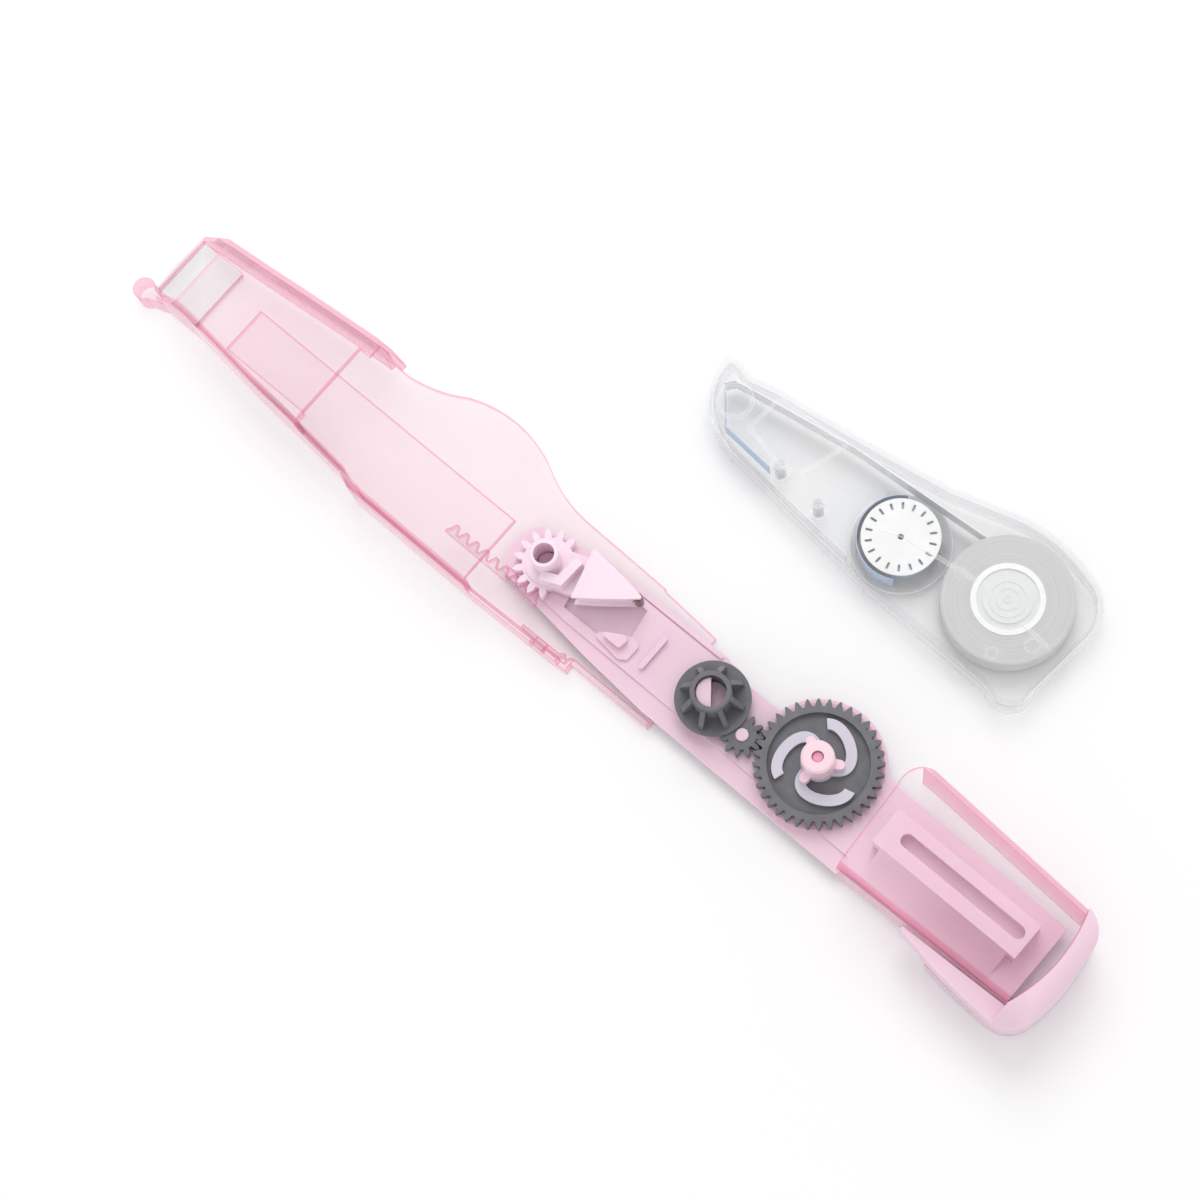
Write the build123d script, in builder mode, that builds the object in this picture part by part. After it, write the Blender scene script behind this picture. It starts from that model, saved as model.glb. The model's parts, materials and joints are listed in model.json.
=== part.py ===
"""Refillable correction tape roller, opened for a refill, with its tape cartridge lying beside it.

Millimetres. Plan points in this file are counted from the supply gear's axis, with +X towards
the tail, +Y towards the cartridge and z from the table. The finished pieces are written in the
object's own frame, whose origin is on the table under the swing head's pivot.
"""

import os
from math import acos, atan2, cos, degrees, hypot, pi, radians, sin, sqrt, tan

from build123d import *

os.makedirs("parts", exist_ok=True)

# Heights above the table
PLATE_T = 1.2  # bottom plate of the sleeve
DECK_Z0 = 1.5  # underside of the frame
BAND_Z1 = 2.3  # lower side band of the frame
DECK_Z1 = 2.7  # deck of the frame
GEAR_Z0 = 3.0  # underside of every gear
SPLIT_Z = 7.0  # parting line of the nose
RAIL_Z1 = 12.7  # top of the sleeve's rail
TOP_Z = 13.8  # top of the nose and of the rear cover
WALL = 1.0  # walls of the sleeve and rear cover

# Gear train
MODULE = 0.537
PRESSURE = radians(25)
SUPPLY_TEETH, IDLER_TEETH, SPOOL_TEETH = 36, 11, 16
GEAR_T = 1.5
SUPPLY_T = 2.0
MESH_GAP = 0.03  # added to every centre distance
TOOTH_THIN = 0.10  # taken off every tooth for backlash
SUPPLY_AXIS = (0.0, 0.0)
SPOOL_AXIS = (-19.1, -2.7)
RUN_GAP = 0.05  # radial clearance of a running fit

# Swing head and its rack
PIVOT = (-53.6, -2.75)
SECTOR_TEETH, SECTOR_MODULE = 15, 0.68
HEAD_ANGLE = 16.5  # where the folded head points, from +X
HEAD_REACH = 16.5  # pivot to tip
HEAD_Z0, HEAD_Z1 = 3.1, 8.0
BOSS_R, BOSS_BORE, BOSS_Z1 = 2.3, 1.7, 10.5

# Sleeve, in its opened place
MOUTH_X = -138.2
NOSE_TOP_X = -127.5  # front edge of the nose's top
NOSE_END_X = -98.4
RAIL_X0, RAIL_X1 = -116.0, -60.0
RAIL_Y1 = -1.9  # free edge of the rail
SHOULDER_X, TONGUE_END_X = -37.1, -25.7
STEP_X = -40.4  # where the near wall narrows

# Rear cover and tail
COVER_END_X, TAIL_END_X = 45.2, 50.0

# Cartridge: its reel's axis as it lies, and its own heights
REEL_AXIS = (5.8, 38.5)
CART_T = 6.35  # fits between the gears and the sleeve's rail
CART_SPLIT = 3.1
CART_WALL = 0.9
REEL_R, CORE_R, CORE_BORE = 10.5, 5.8, 3.6
TAKEUP_R, TAKEUP_BORE = 6.3, 3.6
TAPE_Z0, TAPE_Z1 = 1.1, 5.3  # 4.2 mm tape
TAKEUP_AXIS = (REEL_AXIS[0] + SPOOL_AXIS[0], REEL_AXIS[1] + SPOOL_AXIS[1])
BOSS_AXIS = (REEL_AXIS[0] + PIVOT[0], REEL_AXIS[1] + PIVOT[1] + 0.6)


def save(builder, name):
    """Labels a finished piece and writes its STEP file in the object's own frame."""
    piece = builder.part.moved(Location((-PIVOT[0], -PIVOT[1], 0)))
    piece.label = name
    export_step(piece, f"parts/{name}.step")


def at(point, z, turn=0.0):
    """A level plane at a plan point and height, its x axis turned from +X."""
    way = (cos(radians(turn)), sin(radians(turn)), 0)
    return Plane(origin=(point[0], point[1], z), x_dir=way, z_dir=(0, 0, 1))


def polar(radius, angle):
    """The plan point at a radius and an angle in degrees."""
    return radius * cos(radians(angle)), radius * sin(radians(angle))


# ---------------------------------------------------------------- gears


def involute(angle):
    """The involute function."""
    return tan(angle) - angle


def tooth_outline(teeth, module):
    """One spur tooth on the +X axis, from inside the root circle to its tip."""
    pitch_r = teeth * module / 2
    base_r = pitch_r * cos(PRESSURE)
    tip_r = pitch_r + module
    root_r = pitch_r - 1.25 * module
    half_pitch = (pi * module / 2 - TOOTH_THIN) / (2 * pitch_r)

    def half_angle(radius):
        slope = acos(min(1.0, base_r / radius))
        return half_pitch + involute(PRESSURE) - involute(slope)

    start = max(base_r, root_r)
    radii = [start + (tip_r - start) * step / 3 for step in range(4)]
    side = [(root_r * 0.96, half_angle(start))] + [(r, half_angle(r)) for r in radii]
    upper = [(r * cos(a), r * sin(a)) for r, a in side]
    return [(x, -y) for x, y in upper] + upper[::-1]


def gear_profile(teeth, module, phase, count=None):
    """Adds a spur gear, or count of its teeth on from the phase, to the open sketch."""
    count = count or teeth
    Circle(teeth * module / 2 - 1.25 * module)
    sweep = 360 * count / teeth
    with PolarLocations(0, count, start_angle=phase, angular_range=sweep):
        Polygon(*tooth_outline(teeth, module), align=None)


def mating_phase(centre_a, teeth_a, phase_a, centre_b, teeth_b):
    """The tooth phase that puts gear b in mesh with gear a, in degrees."""
    line = degrees(atan2(centre_b[1] - centre_a[1], centre_b[0] - centre_a[0]))
    share = ((line - phase_a) * teeth_a / 360) % 1
    return line + 180 - (0.5 - share) * 360 / teeth_b


def idler_centre():
    """The idler's axis, on the near side of the line between the other two."""
    to_supply = MODULE * (SUPPLY_TEETH + IDLER_TEETH) / 2 + MESH_GAP
    to_spool = MODULE * (SPOOL_TEETH + IDLER_TEETH) / 2 + MESH_GAP
    span = hypot(*SPOOL_AXIS)
    along = (to_supply**2 - to_spool**2 + span**2) / (2 * span)
    aside = sqrt(to_supply**2 - along**2)
    ux, uy = SPOOL_AXIS[0] / span, SPOOL_AXIS[1] / span
    return along * ux - aside * uy, along * uy + aside * ux


IDLER_AXIS = idler_centre()
IDLER_PHASE = mating_phase(SUPPLY_AXIS, SUPPLY_TEETH, 0.0, IDLER_AXIS, IDLER_TEETH)
SPOOL_PHASE = mating_phase(
    IDLER_AXIS, IDLER_TEETH, IDLER_PHASE, SPOOL_AXIS, SPOOL_TEETH
)

POST_R, IDLER_PIN_R = 0.9, 1.05
NECK_R = 1.9
WEB_R, WEB_T = 8.0, 0.9
RIM_Z1 = GEAR_Z0 + SUPPLY_T
WEB_Z1 = GEAR_Z0 + WEB_T

with BuildPart() as supply_gear:
    with BuildSketch(at(SUPPLY_AXIS, GEAR_Z0)):
        gear_profile(SUPPLY_TEETH, MODULE, 0.0)
        Circle(NECK_R + RUN_GAP, mode=Mode.SUBTRACT)
    extrude(amount=SUPPLY_T)
    with BuildSketch(at(SUPPLY_AXIS, WEB_Z1)):
        Circle(WEB_R)
    extrude(amount=SUPPLY_T, mode=Mode.SUBTRACT)
save(supply_gear, "supply_gear")

HUB_R, HUB_Z1 = 2.8, 10.3
ARM_W, ARM_Z0, ARM_Z1 = 1.7, 4.0, 4.85
ARM_STARTS = (20, 140, 260)

with BuildPart() as clutch_hub:
    with BuildSketch(at(SUPPLY_AXIS, GEAR_Z0)):
        Circle(NECK_R)
    extrude(amount=ARM_Z0 - GEAR_Z0)
    with BuildSketch(at(SUPPLY_AXIS, ARM_Z0)):
        Circle(HUB_R)
        for start in ARM_STARTS:
            with BuildLine():
                Spline(polar(2.2, start - 8), polar(4.6, start + 15),
                       polar(5.65, start + 53), polar(6.35, start + 98))
            trace(line_width=ARM_W)
    extrude(amount=ARM_Z1 - ARM_Z0)
    # Three lugs where the arms leave the hub
    with BuildSketch(at(SUPPLY_AXIS, ARM_Z1)):
        with PolarLocations(HUB_R - 0.1, 3, start_angle=ARM_STARTS[0] + 10):
            SlotOverall(2.8, 1.5)
    extrude(amount=2.0)
    # Tapered hub with a chamfered top
    with BuildSketch(Plane.XZ):
        with BuildLine():
            Polyline((0, ARM_Z0), (HUB_R, ARM_Z0), (HUB_R - 0.2, HUB_Z1 - 0.35),
                     (HUB_R - 0.55, HUB_Z1), (0, HUB_Z1), close=True)
        make_face()
    revolve(axis=Axis.Z)
    with BuildSketch(at(SUPPLY_AXIS, GEAR_Z0)):
        Circle(POST_R + RUN_GAP)
    extrude(amount=HUB_Z1, mode=Mode.SUBTRACT)
save(clutch_hub, "clutch_hub")

with BuildPart() as idler_pinion:
    with BuildSketch(at(IDLER_AXIS, GEAR_Z0)):
        gear_profile(IDLER_TEETH, MODULE, IDLER_PHASE)
        Circle(IDLER_PIN_R + RUN_GAP, mode=Mode.SUBTRACT)
    extrude(amount=GEAR_T)
save(idler_pinion, "idler_pinion")

FLANGE_R, FLANGE_Z0, FLANGE_Z1 = 6.05, 4.6, 5.1
DRUM_R, DRUM_BORE, DRUM_Z1 = 3.25, 2.5, 10.3
FINS, FIN_W = 8, 0.8
SPOOL_POST_R = 2.42

with BuildPart() as spool_drive:
    with BuildSketch(at(SPOOL_AXIS, GEAR_Z0)):
        gear_profile(SPOOL_TEETH, MODULE, SPOOL_PHASE)
    extrude(amount=FLANGE_Z0 - GEAR_Z0)
    with BuildSketch(at(SPOOL_AXIS, FLANGE_Z0)):
        Circle(FLANGE_R)
    extrude(amount=FLANGE_Z1 - FLANGE_Z0)
    with BuildSketch(at(SPOOL_AXIS, FLANGE_Z1)):
        Circle(DRUM_R)
    extrude(amount=DRUM_Z1 - FLANGE_Z1)
    chamfer(spool_drive.faces().sort_by(Axis.Z)[-1].edges(), 0.2)
    for index in range(FINS):
        turn = 360 * index / FINS + 20
        way = Vector(cos(radians(turn)), sin(radians(turn)), 0)
        side = Plane(origin=(*SPOOL_AXIS, 0), x_dir=way, z_dir=way.cross(Vector(0, 0, 1)))
        with BuildSketch(side):
            with BuildLine():
                Polyline((2.8, FLANGE_Z1), (5.3, FLANGE_Z1), (5.1, 6.6), (3.6, 9.6),
                         (2.8, 9.9), close=True)
            make_face()
        extrude(amount=FIN_W / 2, both=True)
    with BuildSketch(at(SPOOL_AXIS, GEAR_Z0)):
        Circle(DRUM_BORE)
    extrude(amount=DRUM_Z1, mode=Mode.SUBTRACT)
save(spool_drive, "spool_drive")

# ---------------------------------------------------------------- frame and its posts

DISC_R = 10.7
FRAME_X0, FRAME_X1 = -61.0, 44.4
REAR_Y0, REAR_Y1 = -10.2, 5.3
GROOVE_Y0, GROOVE_Y1 = -7.95, 2.75
BLOCK = (14.2, 41.4, -4.3, 2.0)  # raised block under the rear cover: x0, x1, y0, y1
BLOCK_Z1 = 8.0


def frame_outline():
    """The frame's plan outline."""
    with BuildSketch() as outline:
        with BuildLine():
            front = ThreePointArc((FRAME_X0 + 2, -8.0), (FRAME_X0, -3.2), (FRAME_X0 + 2, 1.6))
            far = Polyline(front @ 1, (-50, 3.2), (-40, 4.0), (-22, 4.1), (-17, 2.8),
                           (-9, 2.8), (8, 6.0), (12, REAR_Y1), (FRAME_X1, REAR_Y1 - 0.3))
            near = Polyline(far @ 1, (FRAME_X1, REAR_Y0 + 0.9), (12.9, REAR_Y0), (12.6, -11.1),
                            (-27, -11.1), (-40, -10.2), (-50, -9.1), front @ 0)
        make_face()
        with Locations(SUPPLY_AXIS):
            Circle(DISC_R)
    return outline.sketch


with BuildPart() as frame:
    with BuildSketch(Plane.XY.offset(DECK_Z0)):
        add(frame_outline())
    extrude(amount=BAND_Z1 - DECK_Z0)
    # The deck proper, a step above the side bands
    with BuildSketch(Plane.XY.offset(BAND_Z1)):
        with BuildLine():
            Polyline((-58.6, -6.9), (-50, -7.7), (-46, GROOVE_Y0), (12.2, GROOVE_Y0),
                     (13.9, -9.9), (FRAME_X1, REAR_Y0 + 0.8), (FRAME_X1, 4.6), (10, 4.9),
                     (7.6, 6.2), (-8.5, GROOVE_Y1 - 0.6), (-15, 1.7), (-20, GROOVE_Y1),
                     (-38, GROOVE_Y1 + 0.1), (-50, 2.3), (-58.6, 0.9), close=True)
        make_face()
        with Locations(SUPPLY_AXIS):
            Circle(DISC_R - 0.55)
    extrude(amount=DECK_Z1 - BAND_Z1)
    # A raised rail along the far edge of the deck
    with BuildSketch(Plane.XY.offset(BAND_Z1)):
        with BuildLine():
            Polyline((-41, GROOVE_Y1 + 0.55), (-22.6, GROOVE_Y1 + 0.7))
        trace(line_width=0.5)
    extrude(amount=DECK_Z1 - BAND_Z1)
    # Sunken pocket that the folded head lies over
    with BuildSketch(Plane.XY.offset(DECK_Z1)):
        with BuildLine():
            Polyline((-49.3, 1.7), (-36.8, 1.7), (-35.9, -3.2), (-40.5, -6.3),
                     (-47.5, -6.3), close=True)
        make_face()
    extrude(amount=-0.8, mode=Mode.SUBTRACT)
    # Stop lug: a low rimmed wedge with a higher wedge inside it
    with BuildSketch(Plane.XY.offset(DECK_Z1)):
        with BuildLine():
            Polyline((-41.7, -6.6), (-35.3, -2.9), (-33.8, -3.7), (-33.9, -6.5),
                     (-35.2, -7.3), close=True)
        make_face()
        fillet(vertices(), 0.6)
    extrude(amount=0.6)
    with BuildSketch(Plane.XY.offset(DECK_Z1)):
        with BuildLine():
            Polyline((-40.4, -6.0), (-36.3, -3.7), (-35.6, -4.3), (-35.9, -6.0), close=True)
        make_face()
        fillet(vertices(), 0.4)
    extrude(amount=1.9)
    # Cross rib
    with BuildSketch(Plane.XY.offset(DECK_Z1)):
        with Locations((-31.4, -3.0)):
            SlotOverall(6.4, 0.8, rotation=90)
    extrude(amount=0.9)
    # Block that backs the rear cover, with a long channel along its top
    x0, x1, y0, y1 = BLOCK
    with BuildSketch(Plane.XY.offset(DECK_Z1)):
        with Locations(((x0 + x1) / 2, (y0 + y1) / 2)):
            Rectangle(x1 - x0, y1 - y0)
    extrude(amount=BLOCK_Z1 - DECK_Z1)
    with BuildSketch(Plane.XY.offset(BLOCK_Z1)):
        with Locations(((x0 + x1) / 2 + 1, -0.9)):
            SlotOverall(x1 - x0 - 4, 2.2)
    extrude(amount=-2.4, mode=Mode.SUBTRACT)
    # Ramp from the block down to the near side
    with BuildSketch(Plane(origin=(x0 + 1.5, 0, 0), x_dir=(0, 1, 0), z_dir=(1, 0, 0))):
        with BuildLine():
            foot = Line((y0, DECK_Z1), (y0 - 4.6, DECK_Z1))
            ramp = ThreePointArc(foot @ 1, (y0 - 1.6, DECK_Z1 + 1.4), (y0, DECK_Z1 + 4.2))
            Line(ramp @ 1, foot @ 0)
        make_face()
    extrude(amount=x1 - x0 - 3)
    # Seats of the posts
    for centre, radius in (
        (SUPPLY_AXIS, POST_R), (SPOOL_AXIS, 2.0), (IDLER_AXIS, IDLER_PIN_R - 0.2),
        (PIVOT, 1.2),
    ):
        with BuildSketch(at(centre, DECK_Z0)):
            Circle(radius)
        extrude(amount=DECK_Z1, mode=Mode.SUBTRACT)
save(frame, "frame")


def post(name, centre, seat_r, radius, top, notch=0.0):
    """A round post pressed into the frame, with a rounded tip and an optional slant top."""
    with BuildPart() as piece:
        with BuildSketch(at(centre, DECK_Z0)):
            Circle(seat_r)
        extrude(amount=DECK_Z1 - DECK_Z0)
        with BuildSketch(at(centre, DECK_Z1)):
            Circle(radius)
        extrude(amount=top - DECK_Z1)
        fillet(piece.faces().sort_by(Axis.Z)[-1].edges(), 0.25)
        if notch:
            with BuildSketch(at(centre, top, 40)):
                with Locations((radius, 0)):
                    Rectangle(2 * radius, 3 * radius)
            extrude(amount=-notch, mode=Mode.SUBTRACT)
    save(piece, name)


post("supply_post", SUPPLY_AXIS, POST_R, POST_R, 9.6)
post("spool_post", SPOOL_AXIS, 2.0, SPOOL_POST_R, 9.4, notch=3.2)
post("idler_pin", IDLER_AXIS, IDLER_PIN_R - 0.2, IDLER_PIN_R, 4.9)
post("head_post", PIVOT, 1.2, BOSS_BORE - 0.06, 5.6)

# ---------------------------------------------------------------- swing head

SECTOR_R = SECTOR_TEETH * SECTOR_MODULE / 2
SECTOR_PITCH = 360 / SECTOR_TEETH
SECTOR_FIRST = 84.0  # first tooth, on the far side of the folded head
SECTOR_COUNT = 10
SECTOR_T = 1.7
GUIDE_T = 0.8
WEDGE_X0, WEDGE_HALF = 6.4, 4.3
ROLLER_X, ROLLER_R, AXLE_R = HEAD_REACH - 0.55, 0.75, 0.3


def wedge_outline(inset):
    """The head's pointed guide plate, less an inset."""
    half = WEDGE_HALF - inset
    back = WEDGE_X0 + inset
    nose = HEAD_REACH - 0.2 - 1.6 * inset
    with BuildSketch() as outline:
        with BuildLine():
            upper = ThreePointArc((back, half), (back + (nose - back) * 0.5, half * 0.58),
                                  (nose, 0.35))
            tip = ThreePointArc(upper @ 1, (nose + 0.3, 0), (nose, -0.35))
            lower = ThreePointArc(tip @ 1, (back + (nose - back) * 0.5, -half * 0.58),
                                  (back, -half))
            Line(lower @ 1, upper @ 0)
        make_face()
    return outline.sketch


def head_plane(z):
    """A level plane on the head's pivot, its x axis along the head."""
    return at(PIVOT, z, HEAD_ANGLE)


with BuildPart() as head_arm:
    with BuildSketch(at(PIVOT, HEAD_Z0)):
        gear_profile(SECTOR_TEETH, SECTOR_MODULE, SECTOR_FIRST, SECTOR_COUNT)
    extrude(amount=SECTOR_T)
    with BuildSketch(head_plane(HEAD_Z0)):
        Circle(3.7)
        with BuildLine():
            Polyline((0, 3.0), (5.9, 3.2), (5.9, -3.4), (0, -3.6), close=True)
        make_face()
    extrude(amount=2.2)
    with BuildSketch(head_plane(HEAD_Z0)):
        Circle(BOSS_R)
    extrude(amount=BOSS_Z1 - HEAD_Z0)
    fillet(head_arm.faces().sort_by(Axis.Z)[-1].edges(), 0.25)
    # V-shaped wall between the boss and the guide
    with BuildSketch(head_plane(HEAD_Z0)):
        with BuildLine():
            Polyline((0.4, -2.9), (3.6, -2.5), (5.1, 1.7))
        trace(line_width=1.5)
    extrude(amount=HEAD_Z1 - HEAD_Z0)
    with BuildSketch(at(PIVOT, HEAD_Z0)):
        Circle(BOSS_BORE)
    extrude(amount=BOSS_Z1, mode=Mode.SUBTRACT)
    # Straight back that the guide is seated on
    with BuildSketch(head_plane(HEAD_Z0)):
        with Locations((WEDGE_X0 + 3, 0)):
            Rectangle(6, 12)
    extrude(amount=HEAD_Z1, mode=Mode.SUBTRACT)
save(head_arm, "head_arm")

with BuildPart() as head_guide:
    for z in (HEAD_Z0, HEAD_Z1 - GUIDE_T):
        with BuildSketch(head_plane(z)):
            add(wedge_outline(0.0))
        extrude(amount=GUIDE_T)
    with BuildSketch(head_plane(HEAD_Z0 + GUIDE_T)):
        add(wedge_outline(0.7))
    extrude(amount=HEAD_Z1 - HEAD_Z0 - 2 * GUIDE_T)
    with BuildSketch(head_plane(HEAD_Z0 + GUIDE_T)):
        with Locations((ROLLER_X, 0)):
            Circle(ROLLER_R + 0.25)
    extrude(amount=HEAD_Z1 - HEAD_Z0 - 2 * GUIDE_T, mode=Mode.SUBTRACT)
    with BuildSketch(head_plane(HEAD_Z0 + GUIDE_T / 2)):
        with Locations((ROLLER_X, 0)):
            Circle(AXLE_R)
    extrude(amount=HEAD_Z1 - HEAD_Z0 - GUIDE_T, mode=Mode.SUBTRACT)
save(head_guide, "head_guide")

with BuildPart() as tip_axle:
    with BuildSketch(head_plane(HEAD_Z0 + GUIDE_T / 2)):
        with Locations((ROLLER_X, 0)):
            Circle(AXLE_R)
    extrude(amount=HEAD_Z1 - HEAD_Z0 - GUIDE_T)
save(tip_axle, "tip_axle")

with BuildPart() as tip_roller:
    with BuildSketch(head_plane(HEAD_Z0 + GUIDE_T + 0.1)):
        with Locations((ROLLER_X, 0)):
            Circle(ROLLER_R)
            Circle(AXLE_R + RUN_GAP, mode=Mode.SUBTRACT)
    extrude(amount=HEAD_Z1 - HEAD_Z0 - 2 * GUIDE_T - 0.2)
save(tip_roller, "tip_roller")

RACK_Y = PIVOT[1] - SECTOR_R - MESH_GAP  # pitch line
RACK_PITCH = pi * SECTOR_MODULE
RACK_BACK = 1.5  # pitch line to the strip's back
sector_share = ((-90 - SECTOR_FIRST) / SECTOR_PITCH) % 1

with BuildPart() as rack_slider:
    with BuildSketch(Plane.XY.offset(HEAD_Z0 + 0.1)):
        first = PIVOT[0] - (sector_share - 0.5) * RACK_PITCH
        places = [first - RACK_PITCH * step for step in range(-1, 8)]
        foot = RACK_Y - 1.25 * SECTOR_MODULE
        flare = tan(PRESSURE)
        half = (RACK_PITCH / 2 - TOOTH_THIN) / 2
        with Locations(*[(x, RACK_Y) for x in places]):
            Polygon((-half - 1.3 * SECTOR_MODULE * flare, -1.3 * SECTOR_MODULE),
                    (half + 1.3 * SECTOR_MODULE * flare, -1.3 * SECTOR_MODULE),
                    (half - 0.9 * SECTOR_MODULE * flare, 0.9 * SECTOR_MODULE),
                    (-half + 0.9 * SECTOR_MODULE * flare, 0.9 * SECTOR_MODULE), align=None)
        low, high = min(places) - 1.1, max(places) + 1.1
        with Locations(((low + high) / 2, (foot + RACK_Y - RACK_BACK) / 2)):
            Rectangle(high - low, foot - RACK_Y + RACK_BACK)
    extrude(amount=1.5)
save(rack_slider, "rack_slider")

# ---------------------------------------------------------------- sleeve


def sleeve_outline():
    """The opened sleeve's whole plan outline."""
    with BuildSketch() as outline:
        with BuildLine():
            near = Polyline((MOUTH_X, -10.4), (-126, -10.4), (-112, -11.8), (-101, -12.5),
                            (-88, -13.6), (-85.6, -14.7), (-60, -14.8), (-44, -14.4),
                            (STEP_X, -14.1), (STEP_X, -12.7), (-24.6, -12.6), (-24.6, -11.0))
            rear = Polyline(near @ 1, (TONGUE_END_X, -11.0), (TONGUE_END_X, 5.4),
                            (SHOULDER_X, 6.2), (SHOULDER_X - 0.1, 6.5), (-54, 6.9))
            rise = ThreePointArc(rear @ 1, (-59.6, 7.7), (-64.8, 9.8))
            hump = ThreePointArc(rise @ 1, (-74.4, 12.2), (-83.6, 10.4))
            fall = ThreePointArc(hump @ 1, (-88.2, 8.2), (-94, 6.9))
            Polyline(fall @ 1, (NOSE_END_X, 6.9), (-111, 5.8), (-120, 4.9), (MOUTH_X, 3.3),
                     near @ 0)
        make_face()
    return outline.sketch


def mouth_wedge():
    """What is cut away in front of the mouth's slant, from the plate up to the nose's top."""
    with BuildPart() as wedge:
        with BuildSketch(Plane.XZ.offset(20)):
            with BuildLine():
                Polyline((MOUTH_X - 6, PLATE_T), (MOUTH_X, PLATE_T), (NOSE_TOP_X, TOP_Z),
                         (NOSE_TOP_X, TOP_Z + 2), (MOUTH_X - 6, TOP_Z + 2), close=True)
            make_face()
        extrude(amount=-40)
    return wedge.part


with BuildPart() as sleeve_body:
    # The full closed form of the sleeve; its pieces are cut from it
    with BuildSketch():
        add(sleeve_outline())
    extrude(amount=TOP_Z)

with BuildPart() as sleeve_hollow:
    with BuildSketch(Plane.XY.offset(PLATE_T)):
        add(sleeve_outline())
        offset(amount=-WALL, mode=Mode.REPLACE)
    extrude(amount=TOP_Z - PLATE_T - 1.1)


def keep_box(x0, x1, y0, y1, z0, z1, mode=Mode.INTERSECT):
    """Intersects the open part with a box given by its limits."""
    with Locations(((x0 + x1) / 2, (y0 + y1) / 2, (z0 + z1) / 2)):
        Box(x1 - x0, y1 - y0, z1 - z0, mode=mode)


def drop_box(x0, x1, y0, y1, z0, z1):
    """Cuts a box given by its limits from the open part."""
    keep_box(x0, x1, y0, y1, z0, z1, mode=Mode.SUBTRACT)


NEAR, FAR = -20.0, 20.0  # beyond the sleeve's sides
LOW_WALL_Z, TONGUE_WALL_Z = 6.0, 3.0
PLATE_FRONT_X = -128.5  # joint with the colourless mouth plate

with BuildPart() as sleeve_tray:
    add(sleeve_body.part)
    add(sleeve_hollow.part, mode=Mode.SUBTRACT)
    keep_box(-150, 0, NEAR, FAR, 0, SPLIT_Z)
    # Open far side behind the nose, and lower walls to the rear
    drop_box(NOSE_END_X + 1.5, 0, RAIL_Y1, FAR, PLATE_T, TOP_Z)
    drop_box(RAIL_X1, 0, NEAR, FAR, LOW_WALL_Z, TOP_Z)
    drop_box(STEP_X, 0, NEAR, FAR, TONGUE_WALL_Z, TOP_Z)
    drop_box(-30, 0, -11.6, FAR, PLATE_T, TOP_Z)
    # Room for the colourless plate that floors the mouth
    drop_box(MOUTH_X - 3, PLATE_FRONT_X, -9.4, 2.4, -1, PLATE_T)
    # Square latch window and notch in the near wall
    drop_box(-47.4, -44.9, NEAR, -13.0, 2.6, 4.8)
    drop_box(-41.9, STEP_X + 0.1, NEAR, -11.0, 3.2, LOW_WALL_Z)
    add(mouth_wedge(), mode=Mode.SUBTRACT)
    # Flared lip at the near corner of the mouth
    with BuildSketch():
        with BuildLine():
            lip = ThreePointArc((MOUTH_X + 1.5, -9.4), (MOUTH_X - 2.1, -10.2),
                                (MOUTH_X + 1.5, -11.4))
            Polyline(lip @ 1, (MOUTH_X + 4.5, -10.4), (MOUTH_X + 4.5, -9.4), lip @ 0)
        make_face()
    extrude(amount=4.2)
save(sleeve_tray, "sleeve_tray")

with BuildPart() as mouth_plate:
    with BuildSketch():
        with BuildLine():
            front = ThreePointArc((MOUTH_X, -9.35), (MOUTH_X - 0.9, -3.5), (MOUTH_X, 2.35))
            Polyline(front @ 1, (PLATE_FRONT_X, 2.35), (PLATE_FRONT_X, -9.35), front @ 0)
        make_face()
        with Locations((MOUTH_X + 1.05, -9.4)):
            Rectangle(3.4, 2.0, mode=Mode.SUBTRACT)
    extrude(amount=PLATE_T)
    chamfer(mouth_plate.edges().group_by(Axis.Z)[-1].sort_by(Axis.X)[0], 0.4)
save(mouth_plate, "mouth_plate")

with BuildPart() as nose_cap:
    add(sleeve_body.part)
    keep_box(-150, -93.0, NEAR, FAR, SPLIT_Z, TOP_Z)
    crown = nose_cap.faces().sort_by(Axis.Z)[-1]
    near_edge = crown.edges().filter_by(lambda e: e.center().Y < -9)
    far_edge = crown.edges().filter_by(lambda e: e.center().Y > 2 and e.center().X < -94)
    fillet(near_edge + far_edge, 2.4)
    add(sleeve_hollow.part, mode=Mode.SUBTRACT)
    # Straight rear edge, with the far wall running down in a round shoulder
    drop_box(NOSE_END_X, 0, NEAR, 3.4, 0, TOP_Z + 1)
    with BuildSketch(Plane.XZ.offset(-3.0)):
        with BuildLine():
            shoulder = ThreePointArc((NOSE_END_X, TOP_Z + 0.2), (NOSE_END_X + 3.4, 11.4),
                                     (-93.0, SPLIT_Z - 0.1))
            Polyline(shoulder @ 1, (-80, SPLIT_Z - 0.1), (-80, TOP_Z + 1),
                     (NOSE_END_X, TOP_Z + 1), shoulder @ 0)
        make_face()
    extrude(amount=-30, mode=Mode.SUBTRACT)
    add(mouth_wedge(), mode=Mode.SUBTRACT)
save(nose_cap, "nose_cap")

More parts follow.
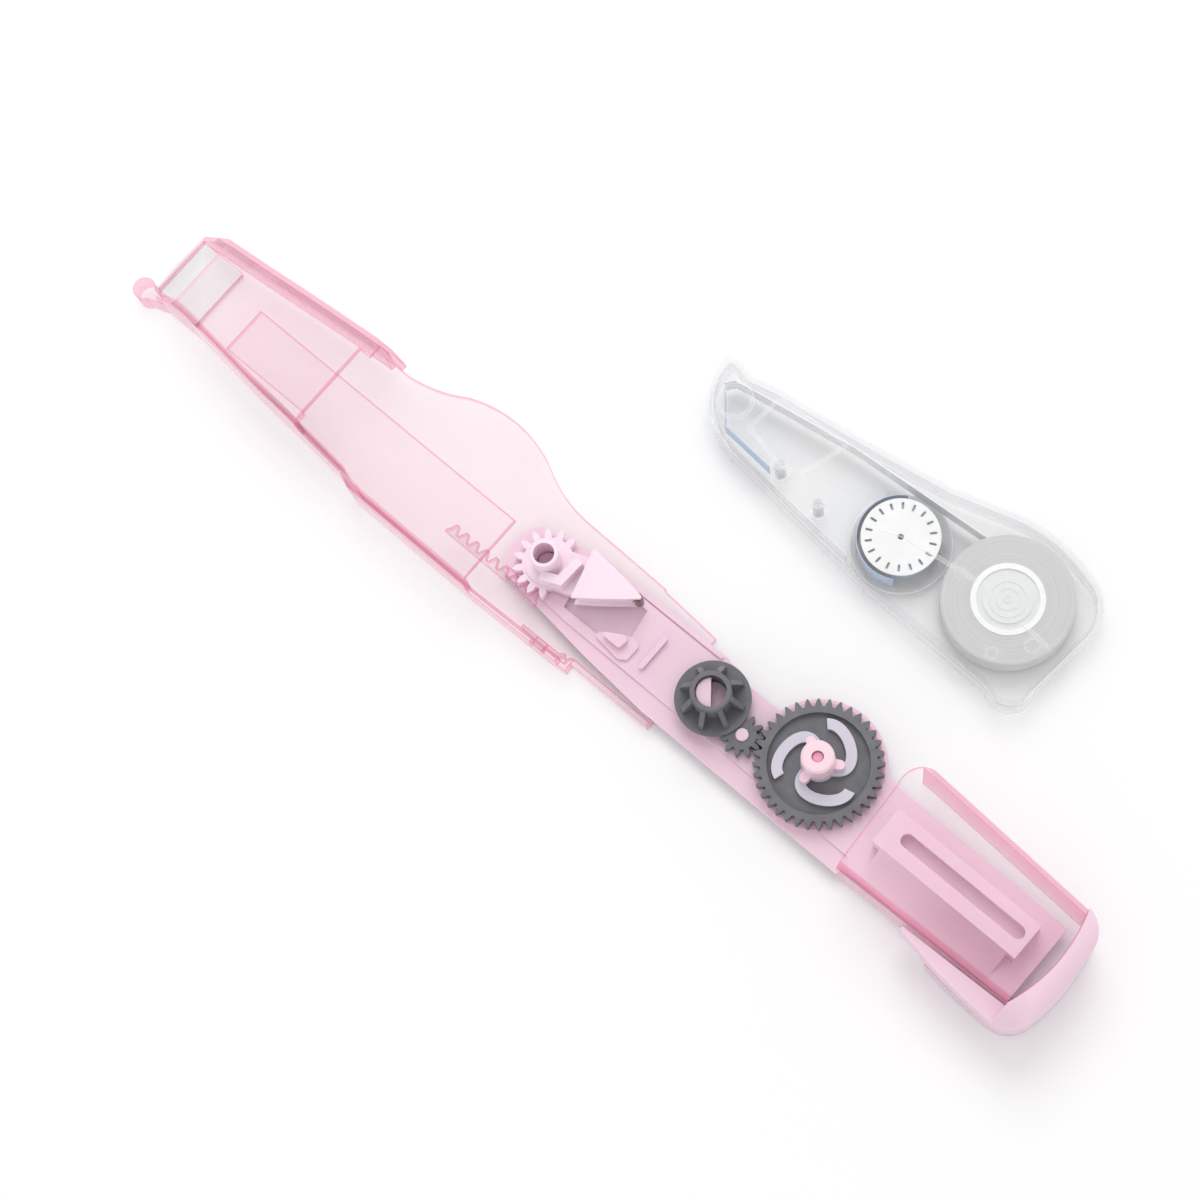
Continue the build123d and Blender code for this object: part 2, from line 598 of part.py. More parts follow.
with BuildPart() as sleeve_rail:
    add(sleeve_body.part)
    keep_box(NOSE_END_X, RAIL_X1, NEAR, RAIL_Y1, SPLIT_Z, RAIL_Z1)
    crown = sleeve_rail.faces().sort_by(Axis.Z)[-1]
    fillet(crown.edges().filter_by(lambda e: e.center().Y < -9), 2.4)
    with BuildSketch(Plane.XY.offset(SPLIT_Z)):
        add(sleeve_outline())
        offset(amount=-WALL, mode=Mode.REPLACE)
    extrude(amount=RAIL_Z1 - SPLIT_Z - 1.1, mode=Mode.SUBTRACT)
    # Tongue that runs on under the nose
    keep_box(RAIL_X0, NOSE_END_X, -10.2, RAIL_Y1, RAIL_Z1 - 1.1, RAIL_Z1 - 0.05,
             mode=Mode.ADD)
save(sleeve_rail, "sleeve_rail")

with BuildPart() as sleeve_latch:
    # Spring clip that stops the sleeve at the end of its slide
    with BuildSketch(Plane.XY.offset(PLATE_T)):
        with BuildLine():
            Polyline((-50.5, -12.95), (-43.0, -12.85), (-42.0, -12.2))
        trace(line_width=0.7)
    extrude(amount=1.9)
    with BuildSketch(Plane.XY.offset(2.8)):
        with Locations((-46.15, -13.4)):
            Rectangle(2.1, 1.5)
    extrude(amount=1.1)
save(sleeve_latch, "sleeve_latch")

# ---------------------------------------------------------------- rear cover and tail cap


def cover_outline():
    """The rear cover's plan outline."""
    with BuildSketch() as outline:
        with BuildLine():
            front = Polyline((13.2, -11.4), (12.3, 4.0))
            corner = ThreePointArc(front @ 1, (12.8, 7.6), (15.4, 9.5))
            far = Line(corner @ 1, (COVER_END_X, 7.8))
            back = ThreePointArc(far @ 1, (COVER_END_X + 1.5, -1.3), (COVER_END_X - 0.4, -10.5))
            Line(back @ 1, front @ 0)
        make_face()
    return outline.sketch


with BuildPart() as rear_cover:
    with BuildSketch():
        add(cover_outline())
    extrude(amount=TOP_Z)
    crown = rear_cover.faces().sort_by(Axis.Z)[-1]
    sides = crown.edges().filter_by(lambda e: abs(e.center().Y + 0.8) > 8 and e.length > 8)
    fillet(sides, 2.6)
    with BuildSketch():
        with BuildLine():
            Polyline((10, -10.4), (COVER_END_X + 4, -9.4), (COVER_END_X + 4, 6.6), (16, 8.5),
                     (10, 8.5), close=True)
        make_face()
    extrude(amount=TOP_Z - WALL, mode=Mode.SUBTRACT)
    # The near wall stops above the sliding tray
    drop_box(10, 50, -14, -5, -1, DECK_Z0 + 0.1)
save(rear_cover, "rear_cover")

with BuildPart() as tail_cap:
    with BuildSketch():
        with BuildLine():
            inner = ThreePointArc((COVER_END_X + 0.02, 7.8), (COVER_END_X + 1.52, -1.3),
                                  (COVER_END_X - 0.38, -10.5))
            step = Line(inner @ 1, (COVER_END_X - 0.38, -14.0))
            turn = ThreePointArc(step @ 1, (47.9, -12.6), (TAIL_END_X - 0.7, -9.6))
            end = ThreePointArc(turn @ 1, (TAIL_END_X, -3.0), (TAIL_END_X - 0.6, 2.6))
            ThreePointArc(end @ 1, (48.2, 6.1), inner @ 0)
        make_face()
    extrude(amount=TOP_Z)
    # Rounded over at the end, and along both sides in line with the cover
    with BuildSketch(Plane.XZ.offset(-20)):
        with BuildLine():
            over = ThreePointArc((TAIL_END_X - 3.0, TOP_Z), (TAIL_END_X - 0.9, TOP_Z - 0.8),
                                 (TAIL_END_X, TOP_Z - 2.8))
            Polyline(over @ 1, (TAIL_END_X, 0), (40, 0), (40, TOP_Z), over @ 0)
        make_face()
    extrude(amount=40, mode=Mode.INTERSECT)
    with BuildSketch(Plane(origin=(40, 0, 0), x_dir=(0, 1, 0), z_dir=(1, 0, 0))):
        with BuildLine():
            far = ThreePointArc((7.8, TOP_Z - 2.6), (7.0, TOP_Z - 0.7), (5.2, TOP_Z))
            near = ThreePointArc((-8.1, TOP_Z), (-11.6, TOP_Z - 1.3), (-14.1, TOP_Z - 4.6))
            Line(far @ 1, near @ 0)
            Polyline(near @ 1, (-14.1, 0), (7.8, 0), far @ 0)
        make_face()
    extrude(amount=20, mode=Mode.INTERSECT)
    # Heel that the sleeve's near wall runs up to
    with BuildSketch():
        with BuildLine():
            flank = ThreePointArc((COVER_END_X - 0.38, -14.0), (38.6, -13.9), (31.6, -13.2))
            Polyline(flank @ 1, (31.6, -12.9), (COVER_END_X - 0.38, -12.9), flank @ 0)
        make_face()
    extrude(amount=TONGUE_WALL_Z + 0.3)
    with BuildSketch(Plane.XY.offset(TONGUE_WALL_Z + 0.3)):
        with BuildLine():
            flank = ThreePointArc((COVER_END_X - 0.38, -14.0), (35.6, -13.5), (26.0, -11.9))
            Polyline(flank @ 1, (26.0, -11.5), (COVER_END_X - 0.38, -10.8), flank @ 0)
        make_face()
    extrude(amount=6.5)
    # Slots that the closed sleeve's plate and near wall run into
    drop_box(40, 47.6, -12.9, 8, -1, DECK_Z0 + 0.1)
    drop_box(40, 47.2, -12.9, -11.3, -1, TONGUE_WALL_Z + 0.3)
save(tail_cap, "tail_cap")

# ---------------------------------------------------------------- tape cartridge


def cart(x, y):
    """A plan point given from the reel's axis."""
    return REEL_AXIS[0] + x, REEL_AXIS[1] + y


def cart_outline():
    """The cartridge's plan outline."""
    with BuildSketch() as outline:
        with BuildLine():
            far = Polyline(cart(-59.5, 3.2), cart(-57.6, 3.5), cart(-54.4, 2.7), cart(-50.2, 3.7),
                           cart(-34.8, 5.7), cart(-28, 6.8), cart(-18, 8.4), cart(-9.2, 10.9))
            crown = ThreePointArc(far @ 1, cart(-1.0, 12.3), cart(7.4, 11.0))
            shoulder = ThreePointArc(crown @ 1, cart(11.8, 8.6), cart(13.4, 3.6))
            back = Line(shoulder @ 1, cart(12.2, -8.9))
            tail = ThreePointArc(back @ 1, cart(11.6, -12.4), cart(8.4, -13.9))
            near = Polyline(tail @ 1, cart(5.2, -13.0), cart(-6, -12.7), cart(-18, -12.4),
                            cart(-36, -10.5), cart(-49, -8.9), cart(-53.2, -7.6))
            ThreePointArc(near @ 1, cart(-58.4, -2.9), far @ 0)
        make_face()
    return outline.sketch


def cart_shell(z0, z1, floor_z0, floor_z1):
    """A half of the cartridge's case: its rim and its floor."""
    with BuildPart() as shell:
        with BuildSketch(Plane.XY.offset(z0)):
            add(cart_outline())
        extrude(amount=z1 - z0)
        for low, high in ((z0, floor_z0), (floor_z1, z1)):
            if high > low:
                with BuildSketch(Plane.XY.offset(low)):
                    add(cart_outline())
                    offset(amount=-CART_WALL, mode=Mode.REPLACE)
                extrude(amount=high - low, mode=Mode.SUBTRACT)
    return shell


def ring(plane, outer, inner, height):
    """A plain ring standing on a plane."""
    with BuildPart() as piece:
        with BuildSketch(plane):
            Circle(outer)
            Circle(inner, mode=Mode.SUBTRACT)
        extrude(amount=height)
    return piece.part


FLOOR_T = 0.7
PIN_R = 0.9
PINS = {"guide_pin_front": cart(-41.4, -5.7), "guide_pin_rear": cart(-32.6, -6.8)}
CART_BOSS_R = 3.0

base_shell = cart_shell(0.0, CART_SPLIT, 0.0, FLOOR_T)
with BuildPart() as cartridge_base:
    add(base_shell.part)
    # Holes that the holder's two hubs enter by
    with BuildSketch():
        with Locations(REEL_AXIS):
            Circle(CORE_BORE)
        with Locations(TAKEUP_AXIS):
            Circle(TAKEUP_BORE)
    extrude(amount=CART_SPLIT, mode=Mode.SUBTRACT)
    for centre in PINS.values():
        with BuildSketch(at(centre, FLOOR_T)):
            Circle(PIN_R + 0.6)
            Circle(PIN_R, mode=Mode.SUBTRACT)
        extrude(amount=0.5)
    # Double rail along the near edge
    with BuildSketch(Plane.XY.offset(FLOOR_T)):
        with BuildLine():
            Polyline(cart(-45, -8.2), cart(-24.2, -10.1))
        trace(line_width=0.5)
    extrude(amount=2.0)
save(cartridge_base, "cartridge_base")

cover_shell = cart_shell(CART_SPLIT, CART_T, CART_T - FLOOR_T, CART_T)
with BuildPart() as cartridge_cover:
    add(cover_shell.part)
    # Moulded rib that runs over both hubs
    with BuildSketch(Plane.XY.offset(CART_T)):
        with BuildLine():
            Polyline(cart(-22.3, -4.2), cart(-19.1, -2.7), cart(-4.4, -0.9))
            Polyline(cart(4.4, -1.9), cart(9.6, -2.4))
        trace(line_width=0.45)
    extrude(amount=0.3)
    # Ejector marks
    for centre, radius in ((cart(7.6, -3.6), 1.2), (cart(3.6, -8.4), 1.0), (cart(-8.2, -1.6), 1.0)):
        add(ring(at(centre, CART_T), radius, radius - 0.2, 0.12))
    # Boss that keys into the swing head
    add(ring(at(BOSS_AXIS, CART_T), CART_BOSS_R, CART_BOSS_R - 0.5, 0.35))
    # Frosted panel over the tape's run to the front
    with BuildSketch(Plane.XY.offset(CART_T)):
        with BuildLine():
            Polyline(cart(-48.5, 2.6), cart(-49.2, -4.4), cart(-40.8, -6.2), cart(-37.2, -4.6),
                     cart(-34.6, 3.8), close=True)
        make_face()
        fillet(vertices(), 0.8)
        offset(amount=-0.45, mode=Mode.SUBTRACT)
    extrude(amount=0.25)
save(cartridge_cover, "cartridge_cover")

for name, centre in PINS.items():
    with BuildPart() as pin:
        with BuildSketch(at(centre, FLOOR_T)):
            Circle(PIN_R)
        extrude(amount=CART_T - 2 * FLOOR_T)
    save(pin, name)

HUB_Z0, HUB_TOP = 0.9, 5.45
CEILING_T = 0.35  # closes the top of either hub's socket
with BuildPart() as supply_core:
    add(ring(at(REEL_AXIS, HUB_Z0), CORE_R, CORE_R - 0.9, HUB_TOP - HUB_Z0))
    add(ring(at(REEL_AXIS, HUB_Z0), CORE_BORE + 0.6, CORE_BORE - 0.15, HUB_TOP - HUB_Z0 - 0.3))
    for z, height in ((HUB_Z0, 0.8), (HUB_TOP - 0.7, CEILING_T)):
        add(ring(at(REEL_AXIS, z), CORE_R - 0.5, CORE_BORE, height))
    with BuildSketch(at(REEL_AXIS, HUB_TOP - CEILING_T - 0.1)):
        Circle(CORE_BORE + 0.3)
    extrude(amount=CEILING_T)
    # Ribs between the two rings, and moulded circles on top
    with BuildSketch(at(REEL_AXIS, HUB_Z0)):
        with PolarLocations(4.55, 12):
            Rectangle(1.2, 0.4)
    extrude(amount=HUB_TOP - HUB_Z0 - 1.0)
    for radius in (0.7, 1.9, 3.0):
        add(ring(at(REEL_AXIS, HUB_TOP - 0.1), radius, radius - 0.25, 0.1))
save(supply_core, "supply_core")

with BuildPart() as supply_tape:
    add(ring(at(REEL_AXIS, TAPE_Z0), REEL_R - 0.05, CORE_R, TAPE_Z1 - TAPE_Z0))
    top = supply_tape.faces().sort_by(Axis.Z)[-1].edges().sort_by(SortBy.RADIUS)[-1]
    chamfer(top, 0.2)
save(supply_tape, "supply_tape")

SLOTS = 18
with BuildPart() as takeup_core:
    add(ring(at(TAKEUP_AXIS, HUB_Z0), 4.6, TAKEUP_BORE - 0.1, HUB_TOP - HUB_Z0 - CEILING_T))
    with BuildSketch(at(TAKEUP_AXIS, HUB_TOP - CEILING_T)):
        Circle(TAKEUP_R)
        Circle(0.5, mode=Mode.SUBTRACT)
        with PolarLocations(5.1, SLOTS, start_angle=6):
            SlotOverall(1.2, 0.42, mode=Mode.SUBTRACT)
    extrude(amount=CEILING_T)
    # Keys that the spool drive's fins turn
    with BuildSketch(at(TAKEUP_AXIS, HUB_Z0 + 1.0)):
        with PolarLocations(3.45, 8):
            Rectangle(0.5, 0.45)
    extrude(amount=2.5)
save(takeup_core, "takeup_core")

with BuildPart() as takeup_flange:
    add(ring(at(TAKEUP_AXIS, HUB_Z0), 8.2, 4.6, 0.5))
save(takeup_flange, "takeup_flange")

with BuildPart() as waste_tape:
    add(ring(at(TAKEUP_AXIS, TAPE_Z0 + 0.3), 5.6, 4.6, TAPE_Z1 - TAPE_Z0 - 0.9))
save(waste_tape, "waste_tape")


def ribbon(name, start, *rest):
    """A tape standing on edge along straight runs, slightly under the reels' width."""
    with BuildPart() as tape:
        with BuildSketch(Plane.XY.offset(TAPE_Z0 + 0.3)):
            with BuildLine():
                Polyline(start, *rest)
            trace(line_width=0.16)
        extrude(amount=TAPE_Z1 - TAPE_Z0 - 0.6)
    save(tape, name)


ribbon("tape_out", cart(-9.0, 5.8), cart(-34, 4.2), cart(-56.2, 0.9), cart(-57.4, -0.6))
ribbon("tape_back", cart(-56.8, -1.2), cart(-52.6, -6.0), cart(-42.6, -6.9))
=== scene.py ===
import json
from math import cos, radians, sin

import bmesh
import bpy
from mathutils import Matrix, Vector


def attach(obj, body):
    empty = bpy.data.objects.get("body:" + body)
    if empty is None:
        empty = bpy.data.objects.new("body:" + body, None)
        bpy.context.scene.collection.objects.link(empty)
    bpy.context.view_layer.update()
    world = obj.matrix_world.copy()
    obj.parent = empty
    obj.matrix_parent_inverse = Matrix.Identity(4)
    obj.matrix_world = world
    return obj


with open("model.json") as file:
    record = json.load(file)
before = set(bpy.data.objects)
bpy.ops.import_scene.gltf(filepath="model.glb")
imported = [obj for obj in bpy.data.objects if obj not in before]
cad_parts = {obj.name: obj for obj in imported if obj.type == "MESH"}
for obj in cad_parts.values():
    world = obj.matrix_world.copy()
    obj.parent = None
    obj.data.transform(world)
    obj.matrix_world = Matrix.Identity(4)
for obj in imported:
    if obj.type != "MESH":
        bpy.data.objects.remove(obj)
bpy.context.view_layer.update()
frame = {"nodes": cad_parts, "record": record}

MM = 0.001
NODES = frame["nodes"]


def axis_of(joint):
    """The plan point of a hinge, in metres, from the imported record."""
    joints = frame["record"]["behaviour"]["joints"]
    place = next(j for j in joints if j["name"] == joint)["pos_m"]
    return Vector((place[0], place[1], 0))


REEL = axis_of("supply_reel_spin")
TAKEUP = axis_of("takeup_reel_spin")

# ------------------------------------------------------------------ shader helpers


class Shader:
    """A node material with one Principled shader, and short ways to feed it."""

    def __init__(self, name, **sockets):
        self.material = bpy.data.materials.new(name)
        self.material.use_nodes = True
        self.tree = self.material.node_tree
        self.tree.nodes.clear()
        self.output = self.node("ShaderNodeOutputMaterial")
        self.surface = self.node("ShaderNodeBsdfPrincipled")
        self.link(self.surface.outputs[0], self.output.inputs["Surface"])
        self.coords = self.node("ShaderNodeTexCoord").outputs["Object"]
        for socket, value in sockets.items():
            self.surface.inputs[socket.replace("_", " ")].default_value = value

    def node(self, kind, **values):
        made = self.tree.nodes.new(kind)
        for key, value in values.items():
            setattr(made, key, value)
        return made

    def link(self, source, target):
        self.tree.links.new(source, target)

    def noise(self, scale, detail=3.0, roughness=0.55, stretch=None):
        """Noise in cells per metre, stretched along an axis if asked."""
        texture = self.node("ShaderNodeTexNoise")
        texture.inputs["Scale"].default_value = scale
        texture.inputs["Detail"].default_value = detail
        texture.inputs["Roughness"].default_value = roughness
        coords = self.coords
        if stretch:
            mapping = self.node("ShaderNodeMapping")
            mapping.inputs["Scale"].default_value = stretch
            self.link(coords, mapping.inputs["Vector"])
            coords = mapping.outputs["Vector"]
        self.link(coords, texture.inputs["Vector"])
        return texture.outputs["Fac"]

    def spread(self, factor, low, high, start=0.3, end=0.7):
        """Maps a 0 to 1 factor onto a range of values."""
        ranger = self.node("ShaderNodeMapRange")
        for socket, value in zip(("From Min", "From Max", "To Min", "To Max"), (start, end, low, high)):
            ranger.inputs[socket].default_value = value
        self.link(factor, ranger.inputs["Value"])
        return ranger.outputs["Result"]

    def blend(self, factor, one, other, target=None):
        """Mixes two colours by a factor, into a socket if one is given."""
        mix = self.node("ShaderNodeMix", data_type="RGBA")
        mix.inputs["A"].default_value = (*one, 1)
        mix.inputs["B"].default_value = (*other, 1)
        self.link(factor, mix.inputs["Factor"])
        if target:
            self.link(mix.outputs["Result"], target)
        return mix

    def tone(self, factor, one, other):
        """Mixes two colours by a factor into the surface's own colour."""
        return self.blend(factor, one, other, self.surface.inputs["Base Color"])

    def rough(self, factor):
        """Feeds the surface's roughness."""
        self.link(factor, self.surface.inputs["Roughness"])

    def cloud(self, scale, detail, low=0, high=1):
        """Noise mapped onto a range of values."""
        return self.spread(self.noise(scale, detail), low, high)

    def maths(self, operation, one, other=0.0):
        """A maths node on a socket and another socket or a number."""
        made = self.node("ShaderNodeMath", operation=operation)
        self.link(one, made.inputs[0])
        if isinstance(other, float):
            made.inputs[1].default_value = other
        else:
            self.link(other, made.inputs[1])
        return made.outputs[0]

    def mixed(self, factor, one, other):
        """Mixes two shader nodes by a factor."""
        made = self.node("ShaderNodeMixShader")
        self.link(factor, made.inputs["Fac"])
        self.link(one.outputs[0], made.inputs[1])
        self.link(other.outputs[0], made.inputs[2])
        return made

    def height(self, factor, strength, distance):
        """Adds a bump to the shader's normal, over any bump already there."""
        bump = self.node("ShaderNodeBump")
        bump.inputs["Strength"].default_value = strength
        bump.inputs["Distance"].default_value = distance
        self.link(factor, bump.inputs["Height"])
        normal = self.surface.inputs["Normal"]
        if normal.is_linked:
            self.link(normal.links[0].from_socket, bump.inputs["Normal"])
        self.link(bump.outputs["Normal"], normal)

    def radius(self, centre):
        """The plan distance from an axis, in metres."""
        shift = self.node("ShaderNodeVectorMath", operation="SUBTRACT")
        shift.inputs[1].default_value = centre
        self.link(self.coords, shift.inputs[0])
        flat = self.node("ShaderNodeVectorMath", operation="MULTIPLY")
        flat.inputs[1].default_value = (1, 1, 0)
        self.link(shift.outputs["Vector"], flat.inputs[0])
        length = self.node("ShaderNodeVectorMath", operation="LENGTH")
        self.link(flat.outputs["Vector"], length.inputs[0])
        return length.outputs["Value"]

    def level(self):
        """The height above the table, in metres."""
        parts = self.node("ShaderNodeSeparateXYZ")
        self.link(self.coords, parts.inputs["Vector"])
        return parts.outputs["Z"]


def srgb(red, green, blue):
    """A colour given as display values, in linear light."""
    values = (red, green, blue)
    return tuple(c / 12.92 if c <= 0.04045 else ((c + 0.055) / 1.055) ** 2.4 for c in values)


# ------------------------------------------------------------------ materials

# Clear plastic: how wide its edges are, how far the rounded normal turns there, how strongly their
# painted glow shows and how finely they are found; how upright a face must be to take the side tint,
# a painted glow, and how little to count as level; the height below which a face is the underside's;
# and the skin's gloss
EDGE_WIDTH = 0.45 * MM
EDGE_TURN = (0.8, 0.99)
EDGE_GLOW_SHOWN = 0.5
EDGE_SAMPLES = 4
UPRIGHT_TURN = (0.35, 0.8)
LEVEL_FACE = 0.02
UNDERSIDE = 0.1 * MM
SKIN_IOR = 1.35


def clear_plastic(name, absorb, density, side, haze, body, edge_glow, skin_top):
    """Clear moulded plastic whose tint deepens with the depth of plastic looked through.

    Light goes straight through. The level faces of the open top, above skin_top, and of the
    underside pass it as a refraction with no bend, which leaves more transparent layers for the
    faces within. Upright faces and edges gather light from within, so they are tinted by side, a
    painted glow; a haze of the body colour lies over every outward face, and the edges show the
    edge colour given, a painted glow of the light gathered there.
    """
    shader = Shader(name, IOR=1.49)
    # Edges, found where a rounded normal turns away from the face's own, take a painted glow of the
    # light gathered there
    geometry = shader.node("ShaderNodeNewGeometry")
    rounded = shader.node("ShaderNodeBevel", samples=EDGE_SAMPLES)
    rounded.inputs["Radius"].default_value = EDGE_WIDTH
    turned = shader.node("ShaderNodeVectorMath", operation="DOT_PRODUCT")
    shader.link(rounded.outputs["Normal"], turned.inputs[0])
    shader.link(geometry.outputs["Normal"], turned.inputs[1])
    edge = shader.spread(turned.outputs["Value"], 1, 0, *EDGE_TURN)
    clouds = shader.blend(shader.cloud(60, 3), body, [0.96 * c for c in body])
    rimmed = shader.tone(edge, body, edge_glow)
    shader.link(clouds.outputs["Result"], rimmed.inputs["A"])
    shader.rough(shader.cloud(90, 4, 0.06, 0.2))
    shader.height(shader.noise(55, 2), 0.12, 0.3 * MM)
    # Upright faces and edges tint what is seen through them, a painted glow of the light gathered in
    # the walls
    normal = shader.node("ShaderNodeTexCoord").outputs["Normal"]
    parts = shader.node("ShaderNodeSeparateXYZ")
    shader.link(normal, parts.inputs["Vector"])
    upright = shader.spread(shader.maths("ABSOLUTE", parts.outputs["Z"]), 1, 0, *UPRIGHT_TURN)
    tint = shader.blend(shader.maths("MAXIMUM", upright, edge), (1, 1, 1), side).outputs["Result"]
    # What the eye sees through each kind of face
    sheet = shader.node("ShaderNodeBsdfRefraction")
    sheet.inputs["IOR"].default_value = 1.0
    sheet.inputs["Roughness"].default_value = 0.0
    wall = shader.node("ShaderNodeBsdfTransparent")
    shader.link(tint, sheet.inputs["Color"])
    shader.link(tint, wall.inputs["Color"])
    height = shader.level()
    open_top = shader.maths("GREATER_THAN", height, skin_top)
    underside = shader.maths("LESS_THAN", height, UNDERSIDE)
    level_face = shader.maths("LESS_THAN", upright, LEVEL_FACE)
    bare = shader.maths("MULTIPLY", shader.maths("MAXIMUM", open_top, underside), level_face)
    seen = shader.mixed(bare, wall, sheet)
    # The light that reaches other surfaces goes through untinted by the faces
    lit = shader.node("ShaderNodeBsdfTransparent")
    path = shader.node("ShaderNodeLightPath")
    lighting = shader.maths("MAXIMUM", path.outputs["Is Shadow Ray"], path.outputs["Is Diffuse Ray"])
    clear = shader.mixed(lighting, seen, lit)
    # The skin's gloss and haze, and the painted glow along the edges, on the faces turned outward
    mirror = shader.node("ShaderNodeFresnel")
    mirror.inputs["IOR"].default_value = SKIN_IOR
    outside = shader.spread(geometry.outputs["Backfacing"], 1, 0, 0, 1)
    uneven = shader.cloud(140, 4, haze * 0.75, haze * 1.25)
    haze_and_glow = shader.maths("ADD", uneven, shader.spread(edge, 0, EDGE_GLOW_SHOWN, 0, 1))
    skin = shader.maths("MULTIPLY", shader.maths("ADD", mirror.outputs[0], haze_and_glow), outside)
    shader.link(shader.mixed(skin, clear, shader.surface).outputs[0], shader.output.inputs["Surface"])
    # The depth of plastic tints it
    inside = shader.node("ShaderNodeVolumeAbsorption")
    inside.inputs["Color"].default_value = (*absorb, 1)
    inside.inputs["Density"].default_value = density
    shader.link(inside.outputs[0], shader.output.inputs["Volume"])
    return shader.material


def milky_plastic(name, colour, deeper, soft=0.3):
    """Satin translucent plastic, slightly uneven in colour as moulded."""
    shader = Shader(name, Subsurface_Weight=soft, Subsurface_Scale=1.2 * MM, IOR=1.49)
    shader.surface.inputs["Subsurface Radius"].default_value = (1.0, 0.55, 0.7)
    shader.tone(shader.cloud(70, 3), colour, deeper)
    shader.rough(shader.cloud(260, 3, 0.3, 0.46))
    shader.height(shader.noise(2600, 2), 0.10, 0.02 * MM)
    shader.height(shader.noise(120, 2), 0.08, 0.05 * MM)
    return shader.material


def gear_plastic():
    """Dark grey acetal: finely matt, faintly mottled."""
    shader = Shader("gear_plastic", IOR=1.48)
    shader.tone(shader.cloud(400, 4), srgb(0.39, 0.39, 0.405), srgb(0.44, 0.44, 0.455))
    shader.rough(shader.cloud(700, 3, 0.36, 0.55))
    shader.height(shader.noise(3800, 3), 0.22, 0.02 * MM)
    return shader.material


def clutch_plastic():
    """Soft milky plastic: lilac grey in the thin arms, pink up the hub."""
    shader = Shader("clutch_plastic", Subsurface_Weight=0.25, Subsurface_Scale=0.8 * MM, IOR=1.49)
    shader.surface.inputs["Subsurface Radius"].default_value = (1.0, 0.6, 0.75)
    rise = shader.spread(shader.level(), 0, 1, 4.6 * MM, 6.6 * MM)
    shader.tone(rise, srgb(0.79, 0.79, 0.84), srgb(0.955, 0.84, 0.88))
    shader.rough(shader.cloud(300, 3, 0.28, 0.42))
    shader.height(shader.noise(2600, 2), 0.10, 0.02 * MM)
    return shader.material


def wound_tape():
    """The edge of a wound tape: fine rings round the reel's axis."""
    shader = Shader("wound_tape", IOR=1.45)
    radius = shader.radius(REEL)
    rings = shader.node("ShaderNodeTexNoise", noise_dimensions="1D")
    rings.inputs["Scale"].default_value = 5200
    rings.inputs["Detail"].default_value = 4
    shader.link(radius, rings.inputs["W"])
    turns = rings.outputs["Fac"]
    shader.tone(shader.spread(turns, 0, 1), srgb(0.745, 0.745, 0.75), srgb(0.82, 0.82, 0.822))
    shader.rough(shader.cloud(500, 3, 0.5, 0.7))
    shader.height(turns, 0.35, 0.03 * MM)
    return shader.material


def reel_plastic(name, colour, deeper):
    """White satin moulding."""
    shader = Shader(name, IOR=1.5, Subsurface_Weight=0.1, Subsurface_Scale=0.6 * MM)
    shader.tone(shader.cloud(200, 3), colour, deeper)
    shader.rough(shader.cloud(450, 3, 0.3, 0.5))
    shader.height(shader.noise(2400, 2), 0.1, 0.02 * MM)
    return shader.material


def core_plastic():
    """The supply core: a white outer ring round a slightly greyer socket."""
    shader = Shader("core_plastic", IOR=1.5)
    ring = shader.spread(shader.radius(REEL), 0, 1, 4.75 * MM, 4.95 * MM)
    shader.tone(ring, srgb(0.87, 0.88, 0.88), srgb(0.945, 0.945, 0.94))
    shader.rough(shader.cloud(450, 3, 0.2, 0.36))
    shader.height(shader.noise(2400, 2), 0.08, 0.02 * MM)
    return shader.material


def film(name, colour, deeper):
    """Thin plastic film with faint streaks along its run."""
    shader = Shader(name, IOR=1.5)
    streaks = shader.noise(240, 3, stretch=(1, 1, 9))
    shader.tone(shader.spread(streaks, 0, 1), colour, deeper)
    shader.rough(shader.cloud(300, 2, 0.15, 0.3))
    shader.height(streaks, 0.1, 0.02 * MM)
    return shader.material


def metal():
    """Drawn steel wire with marks along it."""
    shader = Shader("axle_steel", Metallic=1.0)
    marks = shader.noise(3000, 3, stretch=(1, 1, 0.05))
    shader.tone(shader.spread(marks, 0, 1), (0.5, 0.5, 0.5), (0.66, 0.65, 0.63))
    shader.rough(shader.spread(marks, 0.25, 0.4))
    return shader.material


def roller_plastic():
    """The tip's dark roller, brown and slightly mottled."""
    shader = Shader("roller_plastic", IOR=1.5)
    shader.tone(shader.cloud(1500, 3), srgb(0.36, 0.27, 0.23), srgb(0.52, 0.41, 0.35))
    shader.rough(shader.cloud(900, 3, 0.2, 0.4))
    shader.height(shader.noise(4000, 2), 0.15, 0.01 * MM)
    return shader.material


PINK_DEPTH = (0.75, 0.05, 0.29)
PINK_BODY = srgb(0.975, 0.83, 0.88)
# The side and edge colours of the clear plastics, here and below, are a painted glow of the light
# gathered in their walls and edges
PINK_SIDE = (0.96, 0.66, 0.75)
PINK_EDGE_GLOW = srgb(0.95, 0.50, 0.64)
PLAIN_DEPTH = (0.3, 0.3, 0.34)
